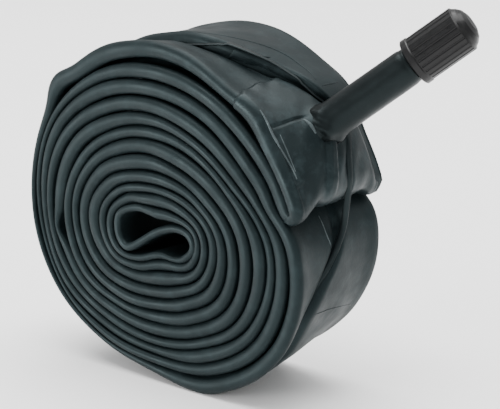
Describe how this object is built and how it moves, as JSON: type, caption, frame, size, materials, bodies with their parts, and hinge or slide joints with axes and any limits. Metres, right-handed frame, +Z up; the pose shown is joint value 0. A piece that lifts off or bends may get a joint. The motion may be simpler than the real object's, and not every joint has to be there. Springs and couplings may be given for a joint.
{
  "type": "bicycle inner tube",
  "caption": "Flattened bicycle inner tube, doubled and rolled up under a thin rubber band, with a capped rubber-covered car-type valve standing out of the roll.",
  "frame": {"origin": "middle of the small flat face that the roll stands on, half way across its width", "axes": "+Z up, +Y along the roll's axis away from the side that shows the winding, +X towards the valve"},
  "size_m": [0.107, 0.0347, 0.0881],
  "materials": {
    "tube_rubber": "satin black butyl with a faint grey bloom",
    "patch_rubber": "satin, a little lighter than the tube",
    "stem_rubber": "smooth semi-gloss rubber",
    "cap_plastic": "moulded black plastic, glossy on the dome",
    "brass": "turned brass",
    "pin_brass": "drawn brass wire",
    "spring_steel": "bright spring wire",
    "seal_rubber": "matt moulded rubber",
    "band_rubber": "thin cut rubber"
  },
  "bodies": {
    "roll": {"inner_tube": "tube_rubber", "valve_patch": "patch_rubber", "valve_stem_rubber": "stem_rubber", "valve_insert": "brass", "core_plug": "brass", "core_barrel": "brass", "core_gasket": "seal_rubber", "core_spring": "spring_steel", "retaining_band": "band_rubber"},
    "pin": {"core_pin": "pin_brass", "core_cup": "pin_brass", "core_cup_seal": "seal_rubber"},
    "cap_carrier": {"cap_seal": "seal_rubber"},
    "cap": {"cap_shell": "cap_plastic"}
  },
  "joints": [
    {"name": "cap_lift", "type": "slide", "parent": "roll", "child": "cap_carrier", "axis": [0.6955, 0.3933, 0.6014], "range_m": [0, 0.01111]},
    {"name": "cap_turn", "type": "hinge", "parent": "cap_carrier", "child": "cap", "pos_m": [0.05386, 0.0114, 0.08014], "axis": [0.6955, 0.3933, 0.6014], "range_deg": [0, 5040]},
    {"name": "pin_press", "type": "slide", "parent": "roll", "child": "pin", "axis": [-0.6955, -0.3933, -0.6014], "range_m": [0, 0.0018], "stiffness_N_per_m": 400, "springref_m": -0.0002, "deforming": ["core_spring"]}
  ],
  "couplings": [
    {"joint": "cap_turn", "follows": "cap_lift", "rad_per_m": 7915.8}
  ]
}
